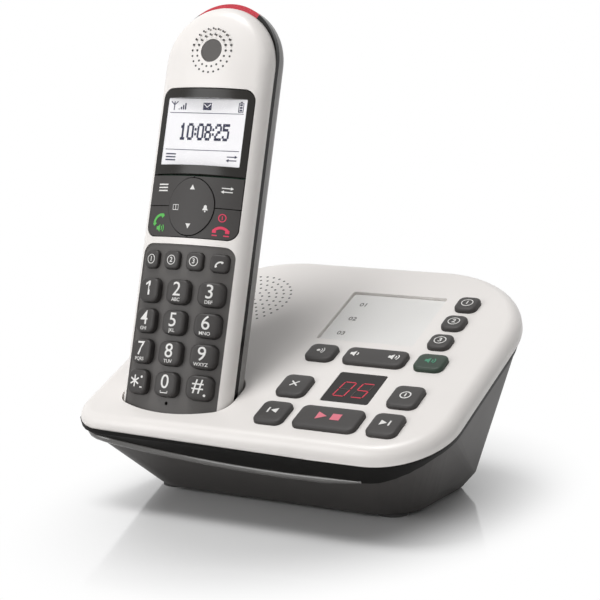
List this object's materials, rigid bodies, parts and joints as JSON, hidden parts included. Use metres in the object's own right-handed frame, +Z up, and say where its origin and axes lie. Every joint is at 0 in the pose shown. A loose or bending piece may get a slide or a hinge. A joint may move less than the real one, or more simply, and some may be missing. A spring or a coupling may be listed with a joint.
{
  "type": "cordless phone",
  "caption": "Cordless phone: a slim handset with big keys and a display, standing tilted in the cradle of a sloping answering-machine base with keys, counter and grille.",
  "frame": {"origin": "middle of the base's outline, on the table under the feet", "axes": "+Z up, +X to the right seen from the front, +Y from the front of the base to the back"},
  "size_m": [0.154, 0.1208, 0.1938],
  "materials": {
    "white_shell": "satin moulded",
    "charcoal_case": "fine matt texture",
    "grey_shell": "fine matt texture",
    "black_gloss": "polished",
    "display_glass": "polished window",
    "counter_glass": "smoked window",
    "led_module": "moulded",
    "paper_label": "printed card",
    "clear_sheet": "clear sheet",
    "circuit_board": "varnished board",
    "speaker_unit": "black frame",
    "socket_black": "moulded",
    "foot_rubber": "matt",
    "screw_steel": "plated",
    "contact_metal": "plated",
    "ringer_lens": "translucent lens",
    "panel_grey": "satin",
    "lcd_glass": "display",
    "battery_sleeve": "shrink sleeve",
    "green_key": "satin",
    "key_grey": "satin"
  },
  "bodies": {
    "base": {"base_top_cover": "white_shell", "base_lower_case": "charcoal_case", "base_rim_band": "black_gloss", "counter_window": "counter_glass", "counter_display": "led_module", "label_card": "paper_label", "base_pcb": "circuit_board", "base_speaker": "speaker_unit", "speaker_grille": "white_shell", "line_socket": "socket_black", "power_socket": "socket_black", "base_feet": "foot_rubber", "base_screws": "screw_steel", "cradle_contacts": "contact_metal"},
    "handset": {"handset_front_shell": "white_shell", "handset_rear_shell": "grey_shell", "handset_side_band": "black_gloss", "ringer_light": "ringer_lens", "earpiece_disc": "panel_grey", "earpiece_speaker": "speaker_unit", "display_window": "display_glass", "lcd_module": "lcd_glass", "keypad_mat": "panel_grey", "handset_pcb": "circuit_board", "battery_cells": "battery_sleeve", "handset_charge_contacts": "contact_metal"},
    "battery_door": {"battery_door": "grey_shell"},
    "label_cover": {"label_cover": "clear_sheet"},
    "nav_key": {"nav_key": "key_grey"},
    "volume_key": {"volume_key": "key_grey"},
    "menu_key": {"menu_key": "key_grey"},
    "option_key": {"option_key": "key_grey"},
    "talk_key": {"talk_key": "key_grey"},
    "end_key": {"end_key": "key_grey"},
    "memory_key_1": {"memory_key_1": "key_grey"},
    "memory_key_2": {"memory_key_2": "key_grey"},
    "memory_key_3": {"memory_key_3": "key_grey"},
    "recall_key": {"recall_key": "key_grey"},
    "key_1": {"key_1": "key_grey"},
    "key_2": {"key_2": "key_grey"},
    "key_3": {"key_3": "key_grey"},
    "key_4": {"key_4": "key_grey"},
    "key_5": {"key_5": "key_grey"},
    "key_6": {"key_6": "key_grey"},
    "key_7": {"key_7": "key_grey"},
    "key_8": {"key_8": "key_grey"},
    "key_9": {"key_9": "key_grey"},
    "key_star": {"key_star": "key_grey"},
    "key_0": {"key_0": "key_grey"},
    "key_hash": {"key_hash": "key_grey"},
    "base_memory_key_1": {"base_memory_key_1": "key_grey"},
    "base_memory_key_2": {"base_memory_key_2": "key_grey"},
    "base_memory_key_3": {"base_memory_key_3": "key_grey"},
    "page_key": {"page_key": "key_grey"},
    "speaker_key": {"speaker_key": "green_key"},
    "delete_key": {"delete_key": "key_grey"},
    "power_key": {"power_key": "key_grey"},
    "previous_key": {"previous_key": "key_grey"},
    "play_key": {"play_key": "key_grey"},
    "next_key": {"next_key": "key_grey"}
  },
  "joints": [
    {"name": "handset_lift", "type": "slide", "parent": "base", "child": "handset", "axis": [0, 0.2571, 0.9664], "range_m": [0, 0.06]},
    {"name": "battery_door_off", "type": "slide", "parent": "handset", "child": "battery_door", "axis": [0, 0.9664, -0.2571], "range_m": [0, 0.012]},
    {"name": "label_cover_lift", "type": "slide", "parent": "base", "child": "label_cover", "axis": [0, -0.3859, 0.9225], "range_m": [0, 0.012]},
    {"name": "nav_rock", "type": "hinge", "parent": "handset", "child": "nav_key", "pos_m": [-0.0377, -0.02889, 0.11564], "axis": [1, 0, 0], "range_deg": [-2.5, 2.5], "stiffness_Nm_per_rad": 0.06},
    {"name": "volume_rock", "type": "hinge", "parent": "base", "child": "volume_key", "pos_m": [0.0301, -0.00745, 0.05765], "axis": [0, 0.9225, 0.3859], "range_deg": [-2.5, 2.5], "stiffness_Nm_per_rad": 0.06},
    {"name": "menu_key_press", "type": "slide", "parent": "handset", "child": "menu_key", "axis": [0, 0.9664, -0.2571], "range_m": [0, 0.0007], "stiffness_N_per_m": 900},
    {"name": "option_key_press", "type": "slide", "parent": "handset", "child": "option_key", "axis": [0, 0.9664, -0.2571], "range_m": [0, 0.0007], "stiffness_N_per_m": 900},
    {"name": "talk_key_press", "type": "slide", "parent": "handset", "child": "talk_key", "axis": [0, 0.9664, -0.2571], "range_m": [0, 0.0007], "stiffness_N_per_m": 900},
    {"name": "end_key_press", "type": "slide", "parent": "handset", "child": "end_key", "axis": [0, 0.9664, -0.2571], "range_m": [0, 0.0007], "stiffness_N_per_m": 900},
    {"name": "memory_key_1_press", "type": "slide", "parent": "handset", "child": "memory_key_1", "axis": [0, 0.9664, -0.2571], "range_m": [0, 0.0007], "stiffness_N_per_m": 900},
    {"name": "memory_key_2_press", "type": "slide", "parent": "handset", "child": "memory_key_2", "axis": [0, 0.9664, -0.2571], "range_m": [0, 0.0007], "stiffness_N_per_m": 900},
    {"name": "memory_key_3_press", "type": "slide", "parent": "handset", "child": "memory_key_3", "axis": [0, 0.9664, -0.2571], "range_m": [0, 0.0007], "stiffness_N_per_m": 900},
    {"name": "recall_key_press", "type": "slide", "parent": "handset", "child": "recall_key", "axis": [0, 0.9664, -0.2571], "range_m": [0, 0.0007], "stiffness_N_per_m": 900},
    {"name": "key_1_press", "type": "slide", "parent": "handset", "child": "key_1", "axis": [0, 0.9664, -0.2571], "range_m": [0, 0.0007], "stiffness_N_per_m": 900},
    {"name": "key_2_press", "type": "slide", "parent": "handset", "child": "key_2", "axis": [0, 0.9664, -0.2571], "range_m": [0, 0.0007], "stiffness_N_per_m": 900},
    {"name": "key_3_press", "type": "slide", "parent": "handset", "child": "key_3", "axis": [0, 0.9664, -0.2571], "range_m": [0, 0.0007], "stiffness_N_per_m": 900},
    {"name": "key_4_press", "type": "slide", "parent": "handset", "child": "key_4", "axis": [0, 0.9664, -0.2571], "range_m": [0, 0.0007], "stiffness_N_per_m": 900},
    {"name": "key_5_press", "type": "slide", "parent": "handset", "child": "key_5", "axis": [0, 0.9664, -0.2571], "range_m": [0, 0.0007], "stiffness_N_per_m": 900},
    {"name": "key_6_press", "type": "slide", "parent": "handset", "child": "key_6", "axis": [0, 0.9664, -0.2571], "range_m": [0, 0.0007], "stiffness_N_per_m": 900},
    {"name": "key_7_press", "type": "slide", "parent": "handset", "child": "key_7", "axis": [0, 0.9664, -0.2571], "range_m": [0, 0.0007], "stiffness_N_per_m": 900},
    {"name": "key_8_press", "type": "slide", "parent": "handset", "child": "key_8", "axis": [0, 0.9664, -0.2571], "range_m": [0, 0.0007], "stiffness_N_per_m": 900},
    {"name": "key_9_press", "type": "slide", "parent": "handset", "child": "key_9", "axis": [0, 0.9664, -0.2571], "range_m": [0, 0.0007], "stiffness_N_per_m": 900},
    {"name": "key_star_press", "type": "slide", "parent": "handset", "child": "key_star", "axis": [0, 0.9664, -0.2571], "range_m": [0, 0.0007], "stiffness_N_per_m": 900},
    {"name": "key_0_press", "type": "slide", "parent": "handset", "child": "key_0", "axis": [0, 0.9664, -0.2571], "range_m": [0, 0.0007], "stiffness_N_per_m": 900},
    {"name": "key_hash_press", "type": "slide", "parent": "handset", "child": "key_hash", "axis": [0, 0.9664, -0.2571], "range_m": [0, 0.0007], "stiffness_N_per_m": 900},
    {"name": "base_memory_key_1_press", "type": "slide", "parent": "base", "child": "base_memory_key_1", "axis": [0, 0.3859, -0.9225], "range_m": [0, 0.0007], "stiffness_N_per_m": 900},
    {"name": "base_memory_key_2_press", "type": "slide", "parent": "base", "child": "base_memory_key_2", "axis": [0, 0.3859, -0.9225], "range_m": [0, 0.0007], "stiffness_N_per_m": 900},
    {"name": "base_memory_key_3_press", "type": "slide", "parent": "base", "child": "base_memory_key_3", "axis": [0, 0.3859, -0.9225], "range_m": [0, 0.0007], "stiffness_N_per_m": 900},
    {"name": "page_key_press", "type": "slide", "parent": "base", "child": "page_key", "axis": [0, 0.3859, -0.9225], "range_m": [0, 0.0007], "stiffness_N_per_m": 900},
    {"name": "speaker_key_press", "type": "slide", "parent": "base", "child": "speaker_key", "axis": [0, 0.3859, -0.9225], "range_m": [0, 0.0007], "stiffness_N_per_m": 900},
    {"name": "delete_key_press", "type": "slide", "parent": "base", "child": "delete_key", "axis": [0, 0.3859, -0.9225], "range_m": [0, 0.0007], "stiffness_N_per_m": 900},
    {"name": "power_key_press", "type": "slide", "parent": "base", "child": "power_key", "axis": [0, 0.3859, -0.9225], "range_m": [0, 0.0007], "stiffness_N_per_m": 900},
    {"name": "previous_key_press", "type": "slide", "parent": "base", "child": "previous_key", "axis": [0, 0.3859, -0.9225], "range_m": [0, 0.0007], "stiffness_N_per_m": 900},
    {"name": "play_key_press", "type": "slide", "parent": "base", "child": "play_key", "axis": [0, 0.3859, -0.9225], "range_m": [0, 0.0007], "stiffness_N_per_m": 900},
    {"name": "next_key_press", "type": "slide", "parent": "base", "child": "next_key", "axis": [0, 0.3859, -0.9225], "range_m": [0, 0.0007], "stiffness_N_per_m": 900}
  ]
}
